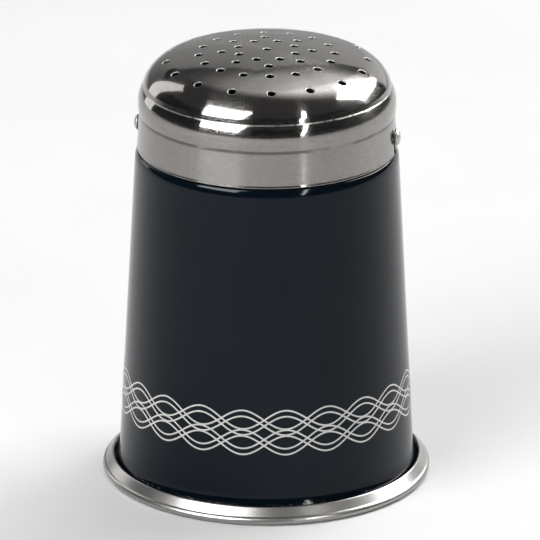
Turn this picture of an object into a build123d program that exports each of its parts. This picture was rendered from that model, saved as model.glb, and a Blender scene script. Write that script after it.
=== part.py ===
from build123d import *
import os
from math import asin, atan, atan2, cos, degrees, hypot, radians, sin

# Sugar shaker: a tapered painted steel shell on a rolled steel base, with a bare neck collar
# that carries two bayonet lugs, and a domed perforated lid that drops over the collar.
# Millimetres, +Z up, origin at the middle of the foot ring, where the shaker stands.

# Sheet thicknesses
lid_sheet = 0.5
shell_sheet = 0.5
collar_sheet = 0.5
base_sheet = 0.5

# Base pan: a raised bottom disc, a flat foot ring, and a rolled rim folded over the shell's flange
bottom_rise = 3.0
base_bend = 0.75
rim_width = 3.8
rim_bead_radius = 1.1
rim_bead_turn = 155.0
rim_valley_radius = 0.3
rim_lip_height = 4.2
rim_lip_gap = 1.3
plug_gap = 0.2

# Painted shell: a flange held in the base's rim, a tapered wall and a shoulder rolled inwards
shell_foot_radius = 36.2
wall_top = 80.3
flange_gap = 0.3
flange_bend = 0.6
shoulder_overhang = 0.57
roll_radius = 6.0
roll_turn = 20.0
shoulder_lip_radius = 0.6

# Lid: waist, bulge and crease measured up from the rim and in from its radius, and the dome above
lid_rim_radius = 31.35
waist_height = 8.8
waist_step = 0.49
bulge_height = 11.45
bulge_step = 0.22
crease_height = 15.4
crease_step = 1.25
dome_rise = 9.08
corner_radius = 9.55
crease_angle = 73.2
lid_seat_gap = 0.3

# Holes of the lid: one in the middle, three rings at shares of the rim radius, one past the crown
hole_radius = 1.0
hole_ring_shares = (0.2326, 0.3463, 0.5221)
outer_ring_gap = 0.24
hole_ring_counts = (8, 8, 16, 16)
hole_ring_turns = (-20.1, 2.4, 2.4, 2.4)

# Neck collar: a flange under the shoulder and a tube that rises inside the lid
collar_rise = 8.3
neck_gap = 0.32
collar_hole_gap = 0.1
collar_flange_width = 0.65
collar_bend = 0.5

# Bayonet: two headed lugs riveted through the collar, in angled slots of the lid's skirt
lug_turns = {"bayonet_lug_right": -10.0, "bayonet_lug_left": 170.0}
lug_height = 4.0
lug_shank_radius = 1.25
lug_head_radius = 1.9
lug_head_edge = 0.15
lug_head_thickness = 0.45
lug_head_gap = 0.25
lug_tenon_radius = 1.0
lug_tenon_gap = 0.05
lug_seat_gap = 0.05
lug_tail_radius = 1.7
lug_tail_thickness = 0.5
lug_tail_gap = 0.1
slot_gap = 0.3
lock_travel = 4.3

# Reach of every cut past the faces it goes through
overrun = 1.0

# Half sheets, because each sheet is drawn along its middle line
lid_half = lid_sheet / 2
shell_half = shell_sheet / 2
collar_half = collar_sheet / 2
base_half = base_sheet / 2

# Places in the shell
flange_height = base_sheet + shell_half
shoulder_radius = lid_rim_radius + shoulder_overhang
wall_slope = atan((shell_foot_radius - shoulder_radius) / (wall_top - flange_height))
roll_end = wall_slope + radians(roll_turn)
roll_rise = (roll_radius - shell_half) * (sin(roll_end) - sin(wall_slope))
curl_rise = (shoulder_lip_radius - shell_half) * (1 - sin(roll_end))
shoulder_top = wall_top + roll_rise + curl_rise + shell_half

# Places in the lid
lid_rim = shoulder_top + lid_seat_gap
lid_top = lid_rim + crease_height + dome_rise
waist_radius = lid_rim_radius - waist_step
bulge_radius = lid_rim_radius - bulge_step
crease_radius = lid_rim_radius - crease_step

# Places in the dome, whose wide crown arc runs smoothly into a corner arc
corner_x = crease_radius - corner_radius * sin(radians(crease_angle))
corner_z = lid_rim + crease_height - corner_radius * cos(radians(crease_angle))
corner_drop = lid_top - corner_z
crown_radius = (corner_x**2 + corner_drop**2 - corner_radius**2) / (2 * (corner_drop - corner_radius))
meet_angle = asin(corner_x / (crown_radius - corner_radius))
crown_reach = crown_radius * sin(meet_angle)

# Places of the hole rings, and a seam line for the lid that passes between the holes
hole_rings = [share * lid_rim_radius for share in hole_ring_shares]
hole_rings.append(crown_reach + hole_radius + outer_ring_gap)
seam_turn = hole_ring_turns[-1] + 180 / hole_ring_counts[-1]

# Places in the collar, which stays clear of the lid where the skirt is narrowest
collar_top = shoulder_top + collar_rise
skirt_lean = waist_step / waist_height
skirt_at_collar_top = lid_rim_radius - skirt_lean * (collar_top - lid_rim)
collar_radius = skirt_at_collar_top - lid_sheet - neck_gap
collar_flange_top = shoulder_top - shell_sheet

# Places of the lugs, whose heads clear the rim as the lid lifts
lug_centre = lid_rim + lug_height
lug_head_base = lid_rim_radius + lug_head_gap
slot_width = 2 * (lug_shank_radius + slot_gap)

os.makedirs("parts", exist_ok=True)


def wall_radius(height):
    """Outer radius of the painted wall at a height."""
    share = (height - flange_height) / (wall_top - flange_height)
    return shell_foot_radius + share * (shoulder_radius - shell_foot_radius)


def dome_place(radius):
    """Height and tilt of the dome's outer face at a radius."""
    if radius <= crown_reach:
        tilt = asin(radius / crown_radius)
        return lid_top - crown_radius * (1 - cos(tilt)), degrees(tilt)
    tilt = asin((radius - corner_x) / corner_radius)
    return corner_z + corner_radius * cos(tilt), degrees(tilt)


def radial_plane(turn, height):
    """Plane whose X points outwards at a turn about the axis, with its Y upwards."""
    outwards = (cos(radians(turn)), sin(radians(turn)), 0)
    sideways = (sin(radians(turn)), -cos(radians(turn)), 0)
    return Plane(origin=(0, 0, height), x_dir=outwards, z_dir=sideways)


def facing_plane(turn, height):
    """Plane that faces outwards at a turn about the axis, with its X counterclockwise and Y upwards."""
    outwards = (cos(radians(turn)), sin(radians(turn)), 0)
    around = (-sin(radians(turn)), cos(radians(turn)), 0)
    return Plane(origin=(0, 0, height), x_dir=around, z_dir=outwards)


# Base pan
plug_radius = shell_foot_radius - shell_sheet - plug_gap - base_half
bead_centre = shell_foot_radius + rim_width - rim_bead_radius
lip_radius = wall_radius(rim_lip_height) + rim_lip_gap + base_half

# Base pan, the valley between the bead and the rim's slope, and the slope's way up to the lip
bead_bend = rim_bead_radius - base_half
valley_bend = rim_valley_radius + base_half
valley_x = bead_centre + (bead_bend + valley_bend) * sin(radians(rim_bead_turn))
valley_z = rim_bead_radius - (bead_bend + valley_bend) * cos(radians(rim_bead_turn))
lip_across, lip_up = lip_radius - valley_x, rim_lip_height - base_half - valley_z
slope_way = atan2(lip_up, lip_across) - asin(valley_bend / hypot(lip_across, lip_up))
with BuildPart() as base_pan:
    with BuildSketch(Plane.XZ):
        with BuildLine():
            pan = FilletPolyline(
                (0, bottom_rise + base_half),
                (plug_radius, bottom_rise + base_half),
                (plug_radius, base_half),
                (bead_centre, base_half),
                radius=base_bend,
            )
            bead = JernArc(pan @ 1, (1, 0), bead_bend, rim_bead_turn)
            valley = JernArc(bead @ 1, bead % 1, valley_bend, degrees(slope_way) - rim_bead_turn)
            Line(valley @ 1, (lip_radius, rim_lip_height - base_half))
            offset(amount=base_half)
        make_face()
        Rectangle(
            2 * (shell_foot_radius + rim_width),
            2 * (rim_lip_height + overrun),
            align=(Align.MIN, Align.CENTER),
            mode=Mode.INTERSECT,
        )
    revolve(axis=Axis.Z)
base_pan.part.label = "base_pan"
export_step(base_pan.part, "parts/base_pan.step")

# Painted shell
with BuildPart() as body_shell:
    with BuildSketch(Plane.XZ):
        with BuildLine():
            wall = FilletPolyline(
                (bead_centre - flange_gap - shell_half, flange_height),
                (shell_foot_radius - shell_half, flange_height),
                (shoulder_radius - shell_half, wall_top),
                radius=flange_bend,
            )
            roll = JernArc(wall @ 1, wall % 1, roll_radius - shell_half, roll_turn)
            level_turn = 90 - degrees(roll_end)
            curl = JernArc(roll @ 1, roll % 1, shoulder_lip_radius - shell_half, level_turn)
            Line(curl @ 1, (collar_radius + collar_hole_gap + shell_half, (curl @ 1).Y))
            offset(amount=shell_half)
        make_face()
    revolve(axis=Axis.Z)
body_shell.part.label = "body_shell"
export_step(body_shell.part, "parts/body_shell.step")

# Neck collar, pierced for the lugs
with BuildPart() as neck_collar:
    with BuildSketch(Plane.XZ):
        with BuildLine():
            FilletPolyline(
                (collar_radius + collar_flange_width - collar_half, collar_flange_top - collar_half),
                (collar_radius - collar_half, collar_flange_top - collar_half),
                (collar_radius - collar_half, collar_top - collar_half),
                radius=collar_bend,
            )
            offset(amount=collar_half)
        make_face()
    revolve(axis=Axis.Z)
    for turn in lug_turns.values():
        with BuildSketch(facing_plane(turn, lug_centre)):
            Circle(lug_tenon_radius + lug_tenon_gap)
        extrude(amount=collar_radius + overrun, mode=Mode.SUBTRACT)
neck_collar.part.label = "neck_collar"
export_step(neck_collar.part, "parts/neck_collar.step")

# Bayonet lugs, each turned about its own radial line
tail_inner = collar_radius - collar_sheet - lug_tail_gap - lug_tail_thickness
for node, turn in lug_turns.items():
    plane = radial_plane(turn, lug_centre)
    with BuildPart() as bayonet_lug:
        with BuildSketch(plane):
            with BuildLine():
                stem = Polyline(
                    (tail_inner, 0),
                    (tail_inner, lug_tail_radius),
                    (tail_inner + lug_tail_thickness, lug_tail_radius),
                    (tail_inner + lug_tail_thickness, lug_tenon_radius),
                    (collar_radius + lug_seat_gap, lug_tenon_radius),
                    (collar_radius + lug_seat_gap, lug_shank_radius),
                    (lug_head_base, lug_shank_radius),
                    (lug_head_base, lug_head_radius),
                    (lug_head_base + lug_head_edge, lug_head_radius),
                )
                crown = TangentArc(
                    (lug_head_base + lug_head_thickness, 0), stem @ 1, tangent=(0, 1)
                )
                Line(crown @ 0, stem @ 0)
            make_face()
        revolve(axis=Axis(plane.origin, plane.x_dir))
    bayonet_lug.part.label = node
    export_step(bayonet_lug.part, f"parts/{node}.step")

# Perforated lid
with BuildPart() as perforated_lid:
    with BuildSketch(radial_plane(seam_turn, 0)):
        with BuildLine():
            crown = JernArc(
                (0, lid_top - lid_half), (1, 0), crown_radius - lid_half, -degrees(meet_angle)
            )
            corner = JernArc(
                crown @ 1, crown % 1, corner_radius - lid_half, degrees(meet_angle) - crease_angle
            )
            widest = (bulge_radius - lid_half, lid_rim + bulge_height)
            waist = (waist_radius - lid_half, lid_rim + waist_height)
            TangentArc(widest, corner @ 1, tangent=(0, 1))
            TangentArc(widest, waist, tangent=(0, -1))
            Line(waist, (lid_rim_radius - lid_half, lid_rim + lid_half))
            offset(amount=lid_half)
        make_face()
        with Locations((0, lid_rim)):
            Rectangle(
                lid_rim_radius + overrun,
                crease_height + dome_rise + overrun,
                align=(Align.MIN, Align.MIN),
                mode=Mode.INTERSECT,
            )
    revolve(axis=Axis.Z)

    # Holes square to the dome
    with Locations((0, 0, lid_top)):
        Hole(hole_radius, lid_sheet + overrun)
    for radius, count, turn in zip(hole_rings, hole_ring_counts, hole_ring_turns):
        height, tilt = dome_place(radius)
        with PolarLocations(0, count, turn):
            with Locations(Location((radius, 0, height), (0, tilt, 0))):
                Hole(hole_radius, lid_sheet + overrun)

    # Slots: up from the rim past the lug, then sideways for the lock
    for turn in lug_turns.values():
        with BuildSketch(facing_plane(turn, 0)):
            with BuildLine():
                Polyline((0, lid_rim - overrun), (0, lug_centre), (lock_travel, lug_centre))
                offset(amount=slot_width / 2)
            make_face()
        extrude(amount=lid_rim_radius + overrun, mode=Mode.SUBTRACT)
perforated_lid.part.label = "perforated_lid"
export_step(perforated_lid.part, "parts/perforated_lid.step")
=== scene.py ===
from math import asin, atan, atan2, cos, hypot, pi, radians, sin, sqrt, tan, tau

import bmesh
import bpy
from mathutils import Matrix, Vector


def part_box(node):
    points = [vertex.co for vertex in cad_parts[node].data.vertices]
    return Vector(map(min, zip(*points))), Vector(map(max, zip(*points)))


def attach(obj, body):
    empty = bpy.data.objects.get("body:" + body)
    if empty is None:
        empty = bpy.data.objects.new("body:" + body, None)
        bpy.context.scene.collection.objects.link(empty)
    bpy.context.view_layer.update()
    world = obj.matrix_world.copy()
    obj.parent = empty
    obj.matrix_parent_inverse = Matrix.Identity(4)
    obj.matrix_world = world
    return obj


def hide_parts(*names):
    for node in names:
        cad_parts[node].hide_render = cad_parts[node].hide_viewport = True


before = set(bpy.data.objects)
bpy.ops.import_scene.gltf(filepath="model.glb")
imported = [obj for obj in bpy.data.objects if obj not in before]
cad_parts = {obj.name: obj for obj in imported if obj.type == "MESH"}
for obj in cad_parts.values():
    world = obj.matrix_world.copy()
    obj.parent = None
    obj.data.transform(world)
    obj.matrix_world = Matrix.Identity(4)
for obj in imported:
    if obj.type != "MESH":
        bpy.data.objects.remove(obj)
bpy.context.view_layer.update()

# Sizes in metres. The main ones are the same as in the part's source
MM = 0.001
LID_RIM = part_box("perforated_lid")[0].z
LID_RIM_RADIUS = 31.35 * MM
SHEET = 0.5 * MM
HALF_SHEET = SHEET / 2
MERGE_GAP = 0.001 * MM
FOLD_REACH = 0.01 * MM
SHARP_ANGLE = radians(40.0)

# Lid
WAIST_HEIGHT, WAIST_STEP = 8.8 * MM, 0.49 * MM
BULGE_HEIGHT, BULGE_STEP = 11.45 * MM, 0.22 * MM
CREASE_HEIGHT, CREASE_STEP = 15.4 * MM, 1.25 * MM
DOME_RISE = 9.08 * MM
CORNER_RADIUS = 9.55 * MM
CREASE_ANGLE = radians(73.2)
EDGE_TILT = radians(64.0)
EDGE_RADIUS = 2.0 * MM
FOLD_TILT = radians(74.0)
HOLE_RADIUS = 0.98 * MM
HOLE_COLLAR = 1.22 * MM
HOLE_EASING = 0.18 * MM
HEM_CURL_RADIUS = 1.2 * MM
HEM_CURL_TURN = radians(11.0)
HEM_RUN = 0.5 * MM
HEM_HEIGHT = 0.72 * MM
HEM_EASING = 0.2 * MM
FIRST_HOLE_TURN = radians(2.4)
LID_COLUMNS = 320

# Painted can
SHELL_FOOT_RADIUS = 36.2 * MM
WALL_TOP = 80.3 * MM
SHOULDER_OVERHANG = 0.57 * MM
SHOULDER_RADIUS = LID_RIM_RADIUS + SHOULDER_OVERHANG
FLANGE_HEIGHT = 0.75 * MM
FLANGE_REACH = 38.2 * MM
FLANGE_BEND = 0.6 * MM
FLARE_LEAN = radians(20.0)
FLARE_RADIUS = 9.4 * MM
FLARE_TOP = 6.9 * MM
ROLL_RADIUS = 6.0 * MM
ROLL_TURN = radians(20.0)
SHOULDER_LIP_RADIUS = 0.6 * MM
LEDGE_GAP = 0.1 * MM
WALL_SLOPE = atan((SHELL_FOOT_RADIUS - SHOULDER_RADIUS) / (WALL_TOP - FLANGE_HEIGHT))
CAN_COLUMNS = 256

# Neck collar and bayonet lugs
COLLAR_LOW, COLLAR_HIGH = (corner.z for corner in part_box("neck_collar"))
COLLAR_RADIUS = 30.085 * MM
COLLAR_FLANGE_REACH = 30.735 * MM
COLLAR_BEND = 0.5 * MM
COLLAR_EASING = 0.18 * MM
LUG_TURNS = {"bayonet_lug_right": radians(-10.0), "bayonet_lug_left": radians(170.0)}
LUG_RISE = 4.0 * MM
LUG_HEIGHT = LID_RIM + LUG_RISE
SLOT_RADIUS = 1.55 * MM
LOCK_TRAVEL = 4.3 * MM
SLOT_LEG = 8 * MM
SLOT_CUT_START = 27 * MM
SLOT_CUT_DEPTH = 8 * MM
SLOT_STEPS = 40
LUG_TAIL_RADIUS = 1.7 * MM
LUG_TENON_RADIUS = 1.0 * MM
LUG_SHANK_RADIUS = 1.25 * MM
LUG_HEAD_RADIUS = 1.9 * MM
LUG_TAIL_START, LUG_TAIL_END = 29.0 * MM, 29.5 * MM
LUG_TENON_END = 30.15 * MM
LUG_SHANK_END = 31.6 * MM
LUG_HEAD_EDGE, LUG_HEAD_TOP = 31.75 * MM, 32.05 * MM
LUG_HEAD_HEADING = pi * 0.62
LUG_CORNER_ANGLE = radians(50.0)
LUG_EASING = 0.09 * MM
LUG_COLUMNS = 48

# Base pan
BOTTOM_RISE = 3.0 * MM
BASE_BEND = 0.75 * MM
PLUG_RADIUS = 35.25 * MM
BEAD_RADIUS = 1.1 * MM
BASE_RADIUS = 40.0 * MM
BEAD_CENTRE = BASE_RADIUS - BEAD_RADIUS
BEAD_TURN = radians(155.0)
VALLEY_RADIUS = 0.3 * MM
LIP_HEIGHT = 4.2 * MM
LIP_RADIUS = 37.6 * MM
LIP_EASING = 0.2 * MM

UP_TURN = radians(90.0)


class Outline:
    """A line drawn with a pen in the XZ plane, to be spun about the shaker's axis."""

    def __init__(self, radius, height, heading):
        self.bm = bmesh.new()
        self.tip = self.bm.verts.new((radius, 0, height))
        self.heading = heading

    def run(self, length, steps=1):
        """Goes straight on."""
        for _ in range(steps):
            made = bmesh.ops.extrude_vert_indiv(self.bm, verts=[self.tip])
            self.tip = made["verts"][0]
            ahead = Vector((cos(self.heading), 0, sin(self.heading)))
            bmesh.ops.translate(self.bm, verts=[self.tip], vec=ahead * length / steps)

    def run_to(self, radius, height, steps=1):
        """Goes straight to a point."""
        across, up = radius - self.tip.co.x, height - self.tip.co.z
        self.heading = atan2(up, across)
        self.run(hypot(across, up), steps)

    def turn(self, radius, angle, steps):
        """Goes round an arc, to the left for a positive angle."""
        side = 1 if angle > 0 else -1
        left = Vector((-sin(self.heading), 0, cos(self.heading)))
        made = bmesh.ops.spin(
            self.bm,
            geom=[self.tip],
            cent=self.tip.co + left * radius * side,
            axis=(0, -1, 0),
            angle=angle,
            steps=steps,
            use_duplicate=False,
        )
        self.tip = next(v for v in made["geom_last"] if isinstance(v, bmesh.types.BMVert))
        self.heading += angle

    def turn_to(self, radius, height, steps):
        """Goes to a point on an arc that leaves along the pen's heading."""
        across, up = radius - self.tip.co.x, height - self.tip.co.z
        half = atan2(up, across) - self.heading
        half = atan2(sin(half), cos(half))
        self.turn(hypot(across, up) / (2 * abs(sin(half))), 2 * half, steps)

    def spin(self, columns, start=0.0):
        """Spins the line about Z and returns the bmesh, with its faces turned outwards."""
        bm = self.bm
        bmesh.ops.rotate(bm, verts=bm.verts, cent=(0, 0, 0), matrix=Matrix.Rotation(start, 3, "Z"))
        bmesh.ops.spin(
            bm,
            geom=bm.verts[:] + bm.edges[:],
            cent=(0, 0, 0),
            axis=(0, 0, 1),
            angle=tau,
            steps=columns,
            use_merge=True,
            use_duplicate=False,
        )
        bmesh.ops.remove_doubles(bm, verts=bm.verts, dist=MERGE_GAP)
        bmesh.ops.recalc_face_normals(bm, faces=bm.faces)
        return bm


def thicken(bm, thickness, outwards):
    """Turns a skin's faces the given way and gives it its sheet thickness on the other side."""
    bm.normal_update()
    probe = max(bm.faces, key=lambda f: f.calc_area())
    centre = probe.calc_center_median()
    if probe.normal.dot(outwards(centre)) < 0:
        bmesh.ops.reverse_faces(bm, faces=bm.faces)
    bmesh.ops.solidify(bm, geom=bm.faces[:], thickness=thickness)


def ease(bm, edges, width, segments):
    """Rounds edges and returns the new faces."""
    made = bmesh.ops.bevel(
        bm,
        geom=edges,
        offset=width,
        offset_type="OFFSET",
        segments=segments,
        profile=0.5,
        affect="EDGES",
        clamp_overlap=True,
        material=-1,
    )
    return made["faces"]


def finish_piece(bm, name, folds=()):
    """Makes an object of a bmesh, smooth all over but for its sharp edges and the folds at these heights."""
    for face in bm.faces:
        face.smooth = True
    for edge in bm.edges:
        creased = any(all(abs(v.co.z - fold) < FOLD_REACH for v in edge.verts) for fold in folds)
        edge.smooth = not creased and edge.calc_face_angle(0) < SHARP_ANGLE
    mesh = bpy.data.meshes.new(name)
    bm.to_mesh(mesh)
    bm.free()
    piece = bpy.data.objects.new(name, mesh)
    bpy.context.scene.collection.objects.link(piece)
    return piece


def radial_way(point):
    return Vector((point.x, point.y, 0)).normalized()


# Lid: crown, corner, crease, bulge, waist and skirt
CREASE_RADIUS = LID_RIM_RADIUS - CREASE_STEP
BULGE_RADIUS = LID_RIM_RADIUS - BULGE_STEP
WAIST_RADIUS = LID_RIM_RADIUS - WAIST_STEP
LID_TOP = LID_RIM + CREASE_HEIGHT + DOME_RISE
CORNER_X = CREASE_RADIUS - CORNER_RADIUS * sin(CREASE_ANGLE)
CORNER_Z = LID_RIM + CREASE_HEIGHT - CORNER_RADIUS * cos(CREASE_ANGLE)
CORNER_DROP = LID_TOP - CORNER_Z
CROWN_RADIUS = (CORNER_X**2 + CORNER_DROP**2 - CORNER_RADIUS**2) / (2 * (CORNER_DROP - CORNER_RADIUS))
MEET_ANGLE = asin(CORNER_X / (CROWN_RADIUS - CORNER_RADIUS))
CROWN_REACH = CROWN_RADIUS * sin(MEET_ANGLE)

# Each ring of holes: radius, count, and half the width of its patch in columns
HOLE_RING_SHARES = (0.2326, 0.3463, 0.5221)
OUTER_RING_REACH = 1.24 * MM
HOLE_RADII = [share * LID_RIM_RADIUS for share in HOLE_RING_SHARES] + [CROWN_REACH + OUTER_RING_REACH]
HOLE_COUNTS = (8, 8, 16, 16)
PATCH_COLUMNS = (10, 7, 5, 3)
HOLE_RINGS = list(zip(HOLE_RADII, HOLE_COUNTS, PATCH_COLUMNS))
PATCH_ROWS = 3


def dome_tilt(radius):
    """How far the dome leans from level at a radius."""
    if radius <= CROWN_REACH:
        return asin(radius / CROWN_RADIUS)
    return asin((radius - CORNER_X) / CORNER_RADIUS)


def dome_height(radius):
    """Height of the dome's outer face at a radius."""
    if radius <= CROWN_REACH:
        return LID_TOP - CROWN_RADIUS + sqrt(CROWN_RADIUS**2 - radius**2)
    return CORNER_Z + sqrt(CORNER_RADIUS**2 - (radius - CORNER_X) ** 2)


def lid_skin():
    """The lid's outer skin with a round opening in the middle, and the radii of the rows of its dome."""
    tilts = [dome_tilt(HOLE_RADIUS), dome_tilt(HOLE_COLLAR)]
    tilts += [dome_tilt(radius) for radius, _, _ in HOLE_RINGS[:3]]
    pen = Outline(HOLE_RADIUS, dome_height(HOLE_RADIUS), -tilts[0])
    for start, end, steps in zip(tilts, tilts[1:], (1, 14, 8, 12)):
        pen.turn(CROWN_RADIUS, start - end, steps)
    pen.turn(CROWN_RADIUS, tilts[-1] - MEET_ANGLE, 14)
    outer_tilt = dome_tilt(HOLE_RINGS[3][0])
    pen.turn(CORNER_RADIUS, MEET_ANGLE - outer_tilt, 3)
    pen.turn(CORNER_RADIUS, outer_tilt - EDGE_TILT, 17)
    rows = sorted(v.co.x for v in pen.bm.verts)
    pen.turn(EDGE_RADIUS, EDGE_TILT - FOLD_TILT, 7)
    pen.run((pen.tip.co.z - LID_RIM - CREASE_HEIGHT) / sin(FOLD_TILT))
    across, up = BULGE_RADIUS - pen.tip.co.x, CREASE_HEIGHT - BULGE_HEIGHT
    bulge_arc = (across**2 + up**2) / (2 * across)
    bulge_turn = asin(up / bulge_arc)
    pen.heading = bulge_turn - UP_TURN
    pen.turn(bulge_arc, -bulge_turn, 10)
    across, up = BULGE_RADIUS - WAIST_RADIUS, BULGE_HEIGHT - WAIST_HEIGHT
    waist_arc = (across**2 + up**2) / (2 * across)
    pen.turn(waist_arc, -asin(up / waist_arc), 8)
    lean = WAIST_STEP / WAIST_HEIGHT
    pen.run_to(LID_RIM_RADIUS - lean * HEM_HEIGHT, LID_RIM + HEM_HEIGHT, 10)
    pen.turn(HEM_CURL_RADIUS, HEM_CURL_TURN, 3)
    pen.run(HEM_RUN, 2)
    return pen.spin(LID_COLUMNS, FIRST_HOLE_TURN), rows


def hole_patches(bm, rows):
    """The faces to take out for each hole, by the hole's radius and turn."""
    patches = {}
    for ring, (radius, count, half_columns) in enumerate(HOLE_RINGS):
        middle = min(range(len(rows)), key=lambda k: abs(rows[k] - radius))
        low, high = rows[middle - PATCH_ROWS], rows[middle + PATCH_ROWS]
        first = FIRST_HOLE_TURN - (pi / count if ring == 0 else 0)
        pitch = tau / count
        for face in bm.faces:
            place = face.calc_center_median()
            if place.z < LID_RIM + CREASE_HEIGHT or not low < hypot(place.x, place.y) < high:
                continue
            number = round((atan2(place.y, place.x) - first) / pitch)
            turn = first + number * pitch
            if abs(atan2(place.y, place.x) - turn) < half_columns * tau / LID_COLUMNS:
                patches.setdefault((radius, number % count * pitch + first), []).append(face)
    return patches


def punch(bm, radius, turn, patch):
    """Opens a round hole in the skin, with a ring of faces around it."""
    border = {e for f in patch for e in f.edges if any(n not in patch for n in e.link_faces)}
    bmesh.ops.delete(bm, geom=patch, context="FACES")
    place = Vector((radius * cos(turn), radius * sin(turn), dome_height(radius)))
    stand = Matrix.Translation(place) @ Matrix.Rotation(turn, 4, "Z")
    stand = stand @ Matrix.Rotation(dome_tilt(radius), 4, "Y")
    lift = Matrix.Translation((0, 0, 2 * HOLE_COLLAR))
    made = bmesh.ops.create_circle(bm, segments=len(border), radius=HOLE_COLLAR, matrix=stand @ lift)
    ring = made["verts"]
    ring_edges = list({e for v in ring for e in v.link_edges})
    bmesh.ops.bridge_loops(bm, edges=list(border) + ring_edges)
    bmesh.ops.transform(bm, verts=ring, matrix=stand @ lift.inverted() @ stand.inverted())
    made = bmesh.ops.extrude_edge_only(bm, edges=ring_edges)
    inner = [v for v in made["geom"] if isinstance(v, bmesh.types.BMVert)]
    share = HOLE_RADIUS / HOLE_COLLAR
    bmesh.ops.scale(bm, verts=inner, vec=(share, share, 1), space=stand.inverted())
    for vert in ring + inner:
        vert.co.z = dome_height(hypot(vert.co.x, vert.co.y))


def slot_cutter(turn, length, upright):
    """A round-ended bar that points outwards through the skirt."""
    bm = bmesh.new()
    bmesh.ops.create_circle(bm, cap_ends=True, segments=SLOT_STEPS, radius=SLOT_RADIUS)
    far = [v for v in bm.verts if v.co.x > 0]
    bmesh.ops.translate(bm, verts=far, vec=(length, 0, 0))
    made = bmesh.ops.extrude_face_region(bm, geom=bm.faces[:])
    top = [v for v in made["geom"] if isinstance(v, bmesh.types.BMVert)]
    bmesh.ops.translate(bm, verts=top, vec=(0, 0, SLOT_CUT_DEPTH))
    bmesh.ops.recalc_face_normals(bm, faces=bm.faces)
    outwards = Vector((cos(turn), sin(turn), 0))
    around = Vector((-sin(turn), cos(turn), 0))
    along = Vector((0, 0, -1)) if upright else around
    stand = Matrix((along, outwards.cross(along), outwards)).transposed().to_4x4()
    place = outwards * SLOT_CUT_START + Vector((0, 0, LUG_HEIGHT))
    bmesh.ops.transform(bm, verts=bm.verts, matrix=Matrix.Translation(place) @ stand)
    return finish_piece(bm, "slot_cutter")


def cut_slots(piece):
    """Cuts the two angled slots, up from the rim and then round for the lock."""
    cutters = []
    for turn in LUG_TURNS.values():
        cutters.append(slot_cutter(turn, SLOT_LEG, True))
        cutters.append(slot_cutter(turn, LOCK_TRAVEL, False))
    for cutter in cutters:
        cut = piece.modifiers.new("slot", "BOOLEAN")
        cut.operation = "DIFFERENCE"
        cut.solver = "EXACT"
        cut.object = cutter
    bpy.context.view_layer.update()
    whole = piece.evaluated_get(bpy.context.evaluated_depsgraph_get())
    solid = piece.data
    piece.data = bpy.data.meshes.new_from_object(whole)
    piece.modifiers.clear()
    piece.data.name = piece.name
    bpy.data.meshes.remove(solid)
    for cutter in cutters:
        bpy.data.objects.remove(cutter)


def make_lid():
    """The domed lid with its holes, rounded hem and slots."""
    bm, rows = lid_skin()
    for (radius, turn), patch in hole_patches(bm, rows).items():
        punch(bm, radius, turn, patch)
    bmesh.ops.remove_doubles(bm, verts=bm.verts, dist=MERGE_GAP)
    bmesh.ops.recalc_face_normals(bm, faces=bm.faces)
    mouths = [e for e in bm.edges if e.is_boundary and e.verts[0].co.z > LID_RIM + CREASE_HEIGHT]
    hem = [e for e in bm.edges if e.is_boundary and e.verts[0].co.z < LID_RIM + HEM_HEIGHT]
    thicken(bm, SHEET, radial_way)
    for face in ease(bm, mouths, HOLE_EASING, 3):
        face.material_index = 1
    ease(bm, [e for e in hem if e.is_valid], HEM_EASING, 3)
    piece = finish_piece(bm, "lid_dome", (LID_RIM + CREASE_HEIGHT, LID_RIM + WAIST_HEIGHT))
    piece.data.materials.append(lid_steel)
    piece.data.materials.append(punched_steel)
    cut_slots(piece)
    return piece


def wall_radius(height):
    """Radius of the can's painted wall at a height."""
    share = (SHELL_FOOT_RADIUS - SHOULDER_RADIUS) / (WALL_TOP - FLANGE_HEIGHT)
    return SHELL_FOOT_RADIUS - share * (height - FLANGE_HEIGHT)


def make_can():
    """The painted can: flange, flared foot, tapered wall, rolled shoulder and the collar's ledge."""
    flange_top = FLANGE_HEIGHT + HALF_SHEET
    bend = FLANGE_BEND - HALF_SHEET
    bend_top = flange_top + bend * (1 - sin(FLARE_LEAN))
    flare_foot = FLARE_TOP - FLARE_RADIUS * (sin(FLARE_LEAN) - sin(WALL_SLOPE))
    flare_reach = wall_radius(FLARE_TOP) + FLARE_RADIUS * (cos(WALL_SLOPE) - cos(FLARE_LEAN))
    bend_reach = flare_reach + (flare_foot - bend_top) * tan(FLARE_LEAN)
    pen = Outline(FLANGE_REACH, flange_top, pi)
    pen.run_to(bend_reach + bend * cos(FLARE_LEAN), flange_top)
    pen.turn(bend, FLARE_LEAN - UP_TURN, 6)
    pen.run_to(flare_reach, flare_foot, 4)
    pen.turn(FLARE_RADIUS, WALL_SLOPE - FLARE_LEAN, 10)
    middle_top = SHOULDER_RADIUS - HALF_SHEET
    pen.run_to(
        middle_top + HALF_SHEET * cos(WALL_SLOPE), WALL_TOP + HALF_SHEET * sin(WALL_SLOPE), 24
    )
    pen.turn(ROLL_RADIUS, ROLL_TURN, 8)
    pen.turn(SHOULDER_LIP_RADIUS, pi - pen.heading, 10)
    pen.run_to(COLLAR_RADIUS + LEDGE_GAP, pen.tip.co.z, 2)
    bm = pen.spin(CAN_COLUMNS)
    thicken(bm, SHEET, radial_way)
    return finish_piece(bm, "painted_can")


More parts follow.
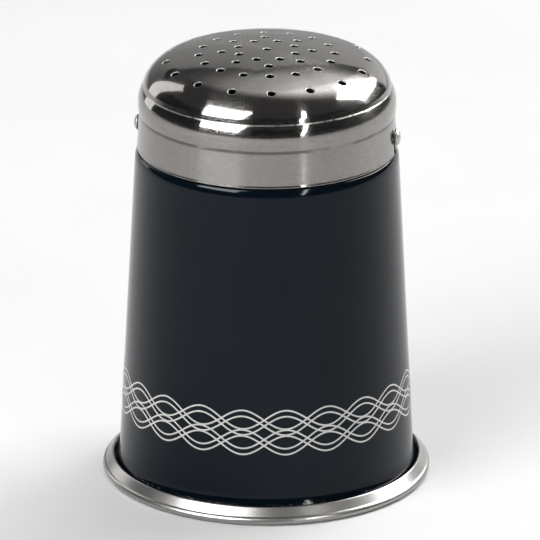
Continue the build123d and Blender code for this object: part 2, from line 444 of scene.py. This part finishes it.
def make_collar():
    """The bare neck collar with its flange under the shoulder's ledge."""
    flange_top = COLLAR_LOW + SHEET
    pen = Outline(COLLAR_FLANGE_REACH, flange_top, pi)
    bend = COLLAR_BEND - HALF_SHEET
    pen.run_to(COLLAR_RADIUS + bend, flange_top)
    pen.turn(bend, -UP_TURN, 6)
    pen.run_to(COLLAR_RADIUS, COLLAR_HIGH, 8)
    bm = pen.spin(CAN_COLUMNS)
    brim = [e for e in bm.edges if e.is_boundary and e.verts[0].co.z > COLLAR_HIGH - HALF_SHEET]
    thicken(bm, SHEET, radial_way)
    ease(bm, brim, COLLAR_EASING, 3)
    return finish_piece(bm, "neck_ring")


def make_base():
    """The base pan: raised bottom, foot ring, rolled bead and the lip that closes on the can."""
    inner_bend, outer_bend = BASE_BEND - HALF_SHEET, BASE_BEND + HALF_SHEET
    pen = Outline(0, BOTTOM_RISE, 0)
    pen.run_to(PLUG_RADIUS - HALF_SHEET - inner_bend, BOTTOM_RISE, 8)
    pen.turn(inner_bend, -UP_TURN, 6)
    pen.run_to(PLUG_RADIUS - HALF_SHEET, outer_bend)
    pen.turn(outer_bend, UP_TURN, 6)
    pen.run_to(BEAD_CENTRE, 0)
    pen.turn(BEAD_RADIUS, BEAD_TURN, 28)
    valley = pen.tip.co + Vector((sin(pen.heading), 0, -cos(pen.heading))) * VALLEY_RADIUS
    across, up = LIP_RADIUS - valley.x, LIP_HEIGHT - valley.z
    slope = atan2(up, across) - asin(VALLEY_RADIUS / hypot(across, up))
    pen.turn(VALLEY_RADIUS, slope - pen.heading, 6)
    pen.run_to(LIP_RADIUS, LIP_HEIGHT, 6)
    bm = pen.spin(CAN_COLUMNS)
    lip = [e for e in bm.edges if e.is_boundary]
    thicken(bm, SHEET, lambda point: Vector((0, 0, -1)))
    ease(bm, lip, LIP_EASING, 3)
    return finish_piece(bm, "base_rim")


def make_lug(name, turn):
    """A headed stud with its riveted tail, spun about its own axis and set in the collar."""
    pen = Outline(0, LUG_TAIL_START, 0)
    for radius, out in (
        (LUG_TAIL_RADIUS, LUG_TAIL_START),
        (LUG_TAIL_RADIUS, LUG_TAIL_END),
        (LUG_TENON_RADIUS, LUG_TAIL_END),
        (LUG_TENON_RADIUS, LUG_TENON_END),
        (LUG_SHANK_RADIUS, LUG_TENON_END),
        (LUG_SHANK_RADIUS, LUG_SHANK_END),
        (LUG_HEAD_RADIUS, LUG_SHANK_END),
        (LUG_HEAD_RADIUS, LUG_HEAD_EDGE),
    ):
        pen.run_to(radius, out)
    pen.heading = LUG_HEAD_HEADING
    pen.turn_to(0, LUG_HEAD_TOP, 8)
    bm = pen.spin(LUG_COLUMNS)
    corners = [e for e in bm.edges if e.calc_face_angle(0) > LUG_CORNER_ANGLE]
    ease(bm, corners, LUG_EASING, 2)
    stand = Matrix.Rotation(turn, 4, "Z") @ Matrix.Rotation(UP_TURN, 4, "Y")
    stand = Matrix.Translation((0, 0, LUG_HEIGHT)) @ stand
    bmesh.ops.transform(bm, verts=bm.verts, matrix=stand)
    return finish_piece(bm, name.replace("bayonet_lug", "lug_stud"))


# Printed band: two rows of crossing waves, each wave a pair of lines
BAND_WAVES = 10.5
BAND_NODE_TURN = radians(-90.9)
BAND_ROWS = (24.7 * MM, 19.8 * MM)
BAND_SWING = 2.34 * MM
BAND_PAIR_GAP = 1.5 * MM
BAND_LINE_WIDTH = 0.4 * MM
BAND_INK = 0.012 * MM
BAND_LIFT, BAND_LIFT_STEP = 0.02 * MM, 0.006 * MM
BAND_STEPS = 480


def print_line(bm, height, swing, lift):
    """One printed line: a flat strip bent round the can in a wave."""
    made = bmesh.ops.create_grid(bm, x_segments=BAND_STEPS, y_segments=1, size=1.0)
    for vert in made["verts"]:
        turn = BAND_NODE_TURN + vert.co.x * pi
        side = vert.co.y * BAND_LINE_WIDTH / 2
        phase = BAND_WAVES * (turn - BAND_NODE_TURN)
        lean = atan2(swing * BAND_WAVES * cos(phase), wall_radius(height))
        up = height + swing * sin(phase) + side * cos(lean)
        turn -= side * sin(lean) / wall_radius(up)
        reach = wall_radius(up) + lift
        vert.co = reach * cos(turn), reach * sin(turn), up


def make_band():
    """The printed band, with each line a hair further out than the one before it."""
    bm = bmesh.new()
    lift = BAND_LIFT
    for row in BAND_ROWS:
        for swing in (BAND_SWING, -BAND_SWING):
            for side in (-0.5, 0.5):
                print_line(bm, row + side * BAND_PAIR_GAP, swing, lift)
                lift += BAND_LIFT_STEP
    bmesh.ops.remove_doubles(bm, verts=bm.verts, dist=MERGE_GAP)
    thicken(bm, BAND_INK, radial_way)
    return finish_piece(bm, "printed_band")


# Finishes
def new_finish(name):
    finish = bpy.data.materials.new(name)
    finish.use_nodes = True
    return finish, finish.node_tree, finish.node_tree.nodes["Principled BSDF"]


def add(tree, kind, values, **settings):
    """Adds a node. Each value is a constant or another node's socket."""
    node = tree.nodes.new("ShaderNode" + kind)
    for name, setting in settings.items():
        setattr(node, name, setting)
    for name, value in values.items():
        if isinstance(value, bpy.types.NodeSocket):
            tree.links.new(value, node.inputs[name])
        else:
            node.inputs[name].default_value = value
    return node


def calc(tree, operation, *values):
    """One step of arithmetic on numbers and sockets."""
    return add(tree, "Math", dict(enumerate(values)), operation=operation).outputs[0]


def object_place(tree):
    return add(tree, "TexCoord", {}).outputs["Object"]


def object_height(tree):
    return add(tree, "SeparateXYZ", {0: object_place(tree)}).outputs["Z"]


def noise(tree, place, scale, detail):
    return add(tree, "TexNoise", {"Vector": place, "Scale": scale, "Detail": detail}).outputs["Fac"]


def spread(tree, value, low, high, out_low, out_high):
    """Maps a value from one range to another."""
    ends = {"Value": value, "From Min": low, "From Max": high, "To Min": out_low, "To Max": out_high}
    return add(tree, "MapRange", ends).outputs["Result"]


def shades(tree, value, stops):
    """A colour ramp with these stops."""
    ramp = add(tree, "ValToRGB", {"Fac": value})
    elements = ramp.color_ramp.elements
    while len(elements) < len(stops):
        elements.new(1.0)
    for element, (place, colour) in zip(elements, stops):
        element.position = place
        element.color = (*colour, 1)
    return ramp.outputs["Color"]


def two_tones(tree, value, low, high, dark, light):
    """Goes from a dark to a light tone as a value goes from low to high."""
    return shades(tree, spread(tree, value, low, high, 0, 1), [(0, dark), (1, light)])


def round_streaks(tree, around, across, detail):
    """Fine streaks that run round the shaker's axis, from its lathe brushing."""
    place = object_place(tree)
    flat = add(tree, "VectorMath", {0: place, 1: (1, 1, 0)}, operation="MULTIPLY").outputs[0]
    way = add(tree, "VectorMath", {0: flat}, operation="NORMALIZE").outputs[0]
    reach = add(tree, "VectorMath", {0: flat}, operation="LENGTH").outputs["Value"]
    height = add(tree, "SeparateXYZ", {0: place}).outputs["Z"]
    steps = calc(tree, "MULTIPLY", calc(tree, "SUBTRACT", reach, height), across)
    lines = add(tree, "CombineXYZ", {2: steps}).outputs[0]
    circle = add(tree, "VectorMath", {0: way, "Scale": around}, operation="SCALE").outputs[0]
    where = add(tree, "VectorMath", {0: circle, 1: lines}, operation="ADD").outputs[0]
    streaks = {"Vector": where, "Scale": 1.0, "Detail": detail, "Roughness": 0.6}
    return add(tree, "TexNoise", streaks).outputs["Fac"]


def fine_bump(tree, height, strength, depth):
    return add(tree, "Bump", {"Height": height, "Strength": strength, "Distance": depth}).outputs["Normal"]


FULL_SHARE = 0.3


def near_height(tree, height, half_width):
    """One at a height on the shaker, fading to nothing above and below it."""
    gap = calc(tree, "ABSOLUTE", calc(tree, "SUBTRACT", object_height(tree), height))
    return spread(tree, gap, FULL_SHARE * half_width, half_width, 1, 0)


def blend_tones(tree, share, first, second):
    return add(tree, "MixRGB", {"Fac": share, "Color1": first, "Color2": second}).outputs[0]


# Widths and depths of wear, painted highlight and shade, and texture
CREASE_WEAR_AND_HIGHLIGHT = 0.2 * MM
WAIST_SHADE_WIDTH = 0.6 * MM
POLISH_EDGE = 0.5 * MM
RIPPLE_FADE, RIPPLE_DEPTH = 3 * MM, 0.15 * MM
GRAIN_DEPTH = 0.02 * MM
PEEL_DEPTH = 0.01 * MM
CHIP_DROP, CHIP_REACH = 0.2 * MM, 0.38 * MM


def lid_steel_finish():
    """Warm grey polished steel with hairlines round the axis, a worn crease lightened as a painted
    highlight, and painted shade in the waist fold.
    """
    finish, tree, shader = new_finish("brushed_lid_steel")
    height = object_height(tree)
    worn = spread(tree, round_streaks(tree, 30.0, 900.0, 2.0), 0.4, 0.6, 0.25, 1.0)
    # The crease is a worn, rougher line, and its colour is lightened there as a painted highlight
    crease = near_height(tree, LID_RIM + CREASE_HEIGHT, CREASE_WEAR_AND_HIGHLIGHT)
    crease = calc(tree, "MULTIPLY", crease, worn)
    # Painted shade: the colour is darkened in patches along the waist fold
    waist_shade_patches = spread(tree, round_streaks(tree, 2.6, 300.0, 2.0), 0.42, 0.56, 0.0, 0.9)
    waist = near_height(tree, LID_RIM + WAIST_HEIGHT, WAIST_SHADE_WIDTH)
    waist_painted_shade = calc(tree, "MULTIPLY", waist, waist_shade_patches)
    grain = round_streaks(tree, 24.0, 4200.0, 2.0)
    tone = two_tones(tree, grain, 0.3, 0.7, (0.24, 0.231, 0.221), (0.295, 0.285, 0.273))
    # The crease gets its painted highlight and the waist fold its painted shade
    tone = blend_tones(tree, crease, tone, (0.7, 0.69, 0.67, 1))
    tone = blend_tones(tree, waist_painted_shade, tone, (0.1, 0.095, 0.09, 1))
    tree.links.new(tone, shader.inputs["Base Color"])

    # The dome is polished and has fine slanted marks, and the skirt below the bulge is brushed
    bulge = LID_RIM + BULGE_HEIGHT
    polish = spread(tree, height, bulge - POLISH_EDGE, bulge + POLISH_EDGE, 0, 1)
    hairlines = round_streaks(tree, 180.0, 16000.0, 1.0)
    rough = spread(tree, hairlines, 0.44, 0.62, 0.03, spread(tree, polish, 0, 1, 0.28, 0.08))
    slant = {"Vector": object_place(tree), "Rotation": (0, 0.7, 0), "Scale": (8000, 8000, 2800)}
    marks = noise(tree, add(tree, "Mapping", slant).outputs[0], 1.0, 1.0)
    marks = spread(tree, marks, 0.46, 0.66, 0, spread(tree, polish, 0, 1, 0, 0.22))
    rough = calc(tree, "MAXIMUM", rough, marks)
    rough = calc(tree, "MAXIMUM", rough, crease)
    rough = calc(tree, "MINIMUM", rough, 0.5)
    tree.links.new(rough, shader.inputs["Roughness"])
    shader.inputs["Metallic"].default_value = 1.0
    shader.inputs["Anisotropic"].default_value = 1.0
    shader.inputs["Anisotropic Rotation"].default_value = 0.25
    tangent = add(tree, "Tangent", {}, direction_type="RADIAL", axis="Z").outputs["Tangent"]
    tree.links.new(tangent, shader.inputs["Tangent"])

    # Slight unevenness of the pressed dome
    edge = LID_RIM + CREASE_HEIGHT
    ripple = noise(tree, object_place(tree), 95.0, 1.0)
    ripple = calc(tree, "MULTIPLY", ripple, spread(tree, height, edge, edge + RIPPLE_FADE, 0, 1))
    tree.links.new(fine_bump(tree, ripple, 1.0, RIPPLE_DEPTH), shader.inputs["Normal"])
    return finish


def satin_steel_finish(name, dark, light, rough_low, rough_high, hatched=False):
    """Satin steel with a fine grain and faint stains, or with short marks across the rim."""
    finish, tree, shader = new_finish(name)
    grain = noise(tree, object_place(tree), 3200.0, 1.0)
    stains = noise(tree, object_place(tree), 260.0, 4.0)
    if hatched:
        stains = calc(tree, "ADD", stains, round_streaks(tree, 330.0, 260.0, 2.0))
        stains = calc(tree, "MULTIPLY", stains, 0.5)
    mix = calc(tree, "ADD", grain, stains)
    tone = two_tones(tree, mix, 0.65, 1.35, dark, light)
    tree.links.new(tone, shader.inputs["Base Color"])
    tree.links.new(spread(tree, mix, 0.7, 1.3, rough_low, rough_high), shader.inputs["Roughness"])
    shader.inputs["Metallic"].default_value = 1.0
    tree.links.new(fine_bump(tree, mix, 0.01, GRAIN_DEPTH), shader.inputs["Normal"])
    return finish


def navy_enamel_finish():
    """Near-black navy enamel with a faint orange peel, chipped in places along the base's lip."""
    finish, tree, shader = new_finish("navy_enamel")
    clouds = noise(tree, object_place(tree), 45.0, 3.0)
    peel = noise(tree, object_place(tree), 900.0, 2.0)
    chips = spread(tree, round_streaks(tree, 45.0, 3500.0, 2.0), 0.56, 0.66, 0.0, 0.8)
    patches = spread(tree, round_streaks(tree, 3.5, 100.0, 1.0), 0.5, 0.6, 0.0, 1.0)
    chips = calc(tree, "MULTIPLY", chips, patches)
    chips = calc(tree, "MULTIPLY", chips, near_height(tree, LIP_HEIGHT - CHIP_DROP, CHIP_REACH))
    tone = two_tones(tree, clouds, 0.3, 0.7, (0.0015, 0.004, 0.008), (0.0025, 0.006, 0.0115))
    tone = blend_tones(tree, chips, tone, (0.32, 0.314, 0.307, 1))
    tree.links.new(tone, shader.inputs["Base Color"])
    tree.links.new(chips, shader.inputs["Metallic"])
    gloss = spread(tree, clouds, 0.3, 0.7, 0.06, 0.1)
    gloss = calc(tree, "MULTIPLY_ADD", chips, 0.3, gloss)
    tree.links.new(gloss, shader.inputs["Roughness"])
    shader.inputs["Specular IOR Level"].default_value = 0.17
    tree.links.new(fine_bump(tree, peel, 0.02, PEEL_DEPTH), shader.inputs["Normal"])
    return finish


def ink_finish():
    """Pale grey printing ink."""
    finish, tree, shader = new_finish("pale_ink")
    grain = noise(tree, object_place(tree), 1500.0, 2.0)
    tone = two_tones(tree, grain, 0.3, 0.7, (0.6, 0.6, 0.58), (0.68, 0.68, 0.66))
    tree.links.new(tone, shader.inputs["Base Color"])
    tree.links.new(spread(tree, grain, 0.3, 0.7, 0.3, 0.42), shader.inputs["Roughness"])
    return finish


def floor_finish():
    """Plain pale floor with a very slight mottle."""
    finish, tree, shader = new_finish("pale_floor")
    mottle = noise(tree, object_place(tree), 12.0, 2.0)
    tone = two_tones(tree, mottle, 0.3, 0.7, (0.89, 0.89, 0.89), (0.92, 0.92, 0.92))
    tree.links.new(tone, shader.inputs["Base Color"])
    shader.inputs["Roughness"].default_value = 0.9
    shader.inputs["Specular IOR Level"].default_value = 0.1
    return finish


# Pieces on their bodies
def dress(piece, body, node, slot, *finishes):
    """Gives a piece its finishes and its body, and hides the node that it stands for. The slot is not used.
    """
    for finish in finishes:
        piece.data.materials.append(finish)
    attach(piece, body)
    if node:
        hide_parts(node)


navy_enamel = navy_enamel_finish()
lid_steel = lid_steel_finish()
punched_steel = satin_steel_finish(
    "punched_edge_steel", (0.25, 0.245, 0.24), (0.32, 0.314, 0.308), 0.46, 0.56
)
base_steel = satin_steel_finish(
    "satin_base_steel", (0.33, 0.323, 0.314), (0.36, 0.353, 0.343), 0.28, 0.3, True
)
inside_steel = satin_steel_finish("can_inside_steel", (0.36, 0.355, 0.35), (0.48, 0.475, 0.47), 0.3, 0.45)
lug_steel = satin_steel_finish("satin_lug_steel", (0.4, 0.392, 0.38), (0.5, 0.49, 0.475), 0.34, 0.45)

dress(make_lid(), "lid", "perforated_lid", "lid_steel")
can = make_can()
dress(can, "shaker", "body_shell", "navy_paint", navy_enamel, inside_steel)
# The can is bare steel on its inner faces and under its shoulder
INWARD, DOWNWARD = -0.2, -0.5
for face in can.data.polygons:
    inward = face.normal.dot(radial_way(face.center)) < INWARD
    if inward or (face.normal.z < DOWNWARD and face.center.z > WALL_TOP):
        face.material_index = 1
dress(make_collar(), "shaker", "neck_collar", "base_steel", base_steel)
dress(make_base(), "shaker", "base_pan", "base_steel", base_steel)
for name, turn in LUG_TURNS.items():
    dress(make_lug(name, turn), "shaker", name, "lug_steel", lug_steel)
dress(make_band(), "shaker", None, "navy_paint", ink_finish())

# Floor, lights and camera
scene = bpy.context.scene
scene.view_settings.view_transform = "Standard"

FLOOR_HALF = 3.0
floor_bm = bmesh.new()
bmesh.ops.create_grid(floor_bm, x_segments=1, y_segments=1, size=FLOOR_HALF)
floor = finish_piece(floor_bm, "floor")
floor.data.materials.append(floor_finish())

LIGHT_AIM = Vector((0, 0, 0.07))


def direction(azimuth, elevation):
    """A way from the shaker, by angles in degrees. Azimuth 0 is towards the camera, 90 to its right."""
    az, el = radians(azimuth), radians(elevation)
    return Vector((sin(az) * cos(el), -cos(az) * cos(el), sin(el)))


def softbox(name, azimuth, elevation, distance, width, height, radiance, roll=0.0):
    """An area lamp aimed at the shaker."""
    lamp = bpy.data.lights.new(name, "AREA")
    lamp.shape = "RECTANGLE"
    lamp.size, lamp.size_y = width, height
    lamp.energy = radiance * pi * width * height
    holder = bpy.data.objects.new(name, lamp)
    scene.collection.objects.link(holder)
    away = direction(azimuth, elevation)
    holder.location = LIGHT_AIM + away * distance
    facing = away.to_track_quat("Z", "Y").to_matrix() @ Matrix.Rotation(radians(roll), 3, "Z")
    holder.rotation_euler = facing.to_euler()
    holder.visible_camera = False
    return holder


# Azimuth, elevation, distance, width, height and roll of each lamp, and the levels
# at which it lights matt faces and shows in polished ones
LAMPS = {
    "left_softbox": (-44, 35, 1.2, 0.78, 0.77, 0.0, 4.8, 14.0),
    "right_softbox": (124, 37, 1.2, 0.84, 0.70, 0.0, 3.6, 14.0),
    "strip_light": (35, 25, 1.3, 0.07, 0.95, -14.0, 10.0, 24.0),
    "left_card": (-130, 20, 1.4, 0.42, 1.25, 0.0, 1.2, 1.9),
}
FILL_SETBACK = 0.03
for name, (azimuth, elevation, distance, width, height, roll, lit, mirrored) in LAMPS.items():
    shown = softbox(name, azimuth, elevation, distance, width, height, mirrored, roll)
    shown.visible_diffuse = False
    fill = softbox(
        name + "_fill", azimuth, elevation, distance + FILL_SETBACK, width, height, lit, roll
    )
    fill.visible_glossy = False
softbox("ceiling_fill", 0, 90, 1.6, 1.6, 1.6, 0.62).visible_glossy = False

# A dim room with a gabled backdrop, and over it a soft glow that a dark gap parts from its edge
GLOW_AZIMUTH, GLOW_ELEVATION = 150, 47
GLOW_LEVELS = (
    (0.0, 0.09),
    (0.1, 0.12),
    (0.33, 0.36),
    (0.5, 0.66),
    (0.68, 1.2),
    (0.77, 1.6),
    (0.83, 2.2),
    (0.94, 3.0),
)
GAP_LEVEL = 0.03
WALL_LEVELS = ((0.0, 0.22), (0.5, 0.5), (1.0, 1.1))


def grey_stops(levels):
    return [(place, (level,) * 3) for place, level in levels]


room = bpy.data.worlds.new("dim_room")
room.use_nodes = True
tree = room.node_tree
way = add(tree, "TexCoord", {}).outputs["Generated"]
glow_way = direction(GLOW_AZIMUTH, GLOW_ELEVATION)
facing = add(tree, "VectorMath", {0: way, 1: glow_way}, operation="DOT_PRODUCT").outputs["Value"]
glow = shades(tree, spread(tree, facing, 0.8, 1.0, 0, 1), grey_stops(GLOW_LEVELS))
parts = add(tree, "SeparateXYZ", {0: way}).outputs
aside = calc(tree, "ABSOLUTE", calc(tree, "ADD", parts["X"], 0.02))
gable = spread(tree, aside, 0.0, 0.16, 0.54, 0.42)
over = calc(tree, "SUBTRACT", parts["Z"], gable)
level = blend_tones(tree, spread(tree, over, 0.02, 0.1, 0, 1), (*(GAP_LEVEL,) * 3, 1), glow)
under_gable = spread(tree, over, -0.004, 0.0, 1, 0)
between_ends = spread(tree, aside, 0.6, 0.66, 1, 0)
behind = spread(tree, parts["Y"], 0.0, 0.1, 0, 1)
backdrop = calc(tree, "MULTIPLY", calc(tree, "MULTIPLY", under_gable, between_ends), behind)
wall = shades(tree, spread(tree, parts["X"], -0.5, 0.5, 0, 1), grey_stops(WALL_LEVELS))
level = blend_tones(tree, backdrop, level, wall)
tree.links.new(level, tree.nodes["Background"].inputs["Strength"])
tree.nodes["Background"].inputs["Color"].default_value = (1, 1, 1, 1)
scene.world = room

CAMERA_SENSOR, CAMERA_LENS, CAMERA_SHIFT = 36.0, 466.8, 0.006
CAMERA_PLACE = (0, -1.5926, 0.6462)
CAMERA_PITCH, CAMERA_ROLL = radians(90 - 20.4965), radians(0.13)
camera = bpy.data.objects.new("camera", bpy.data.cameras.new("camera"))
scene.collection.objects.link(camera)
camera.data.sensor_width = CAMERA_SENSOR
camera.data.lens = CAMERA_LENS
camera.data.shift_x = CAMERA_SHIFT
camera.location = CAMERA_PLACE
pitch, roll = Matrix.Rotation(CAMERA_PITCH, 3, "X"), Matrix.Rotation(CAMERA_ROLL, 3, "Z")
camera.rotation_euler = (pitch @ roll).to_euler()
scene.camera = camera
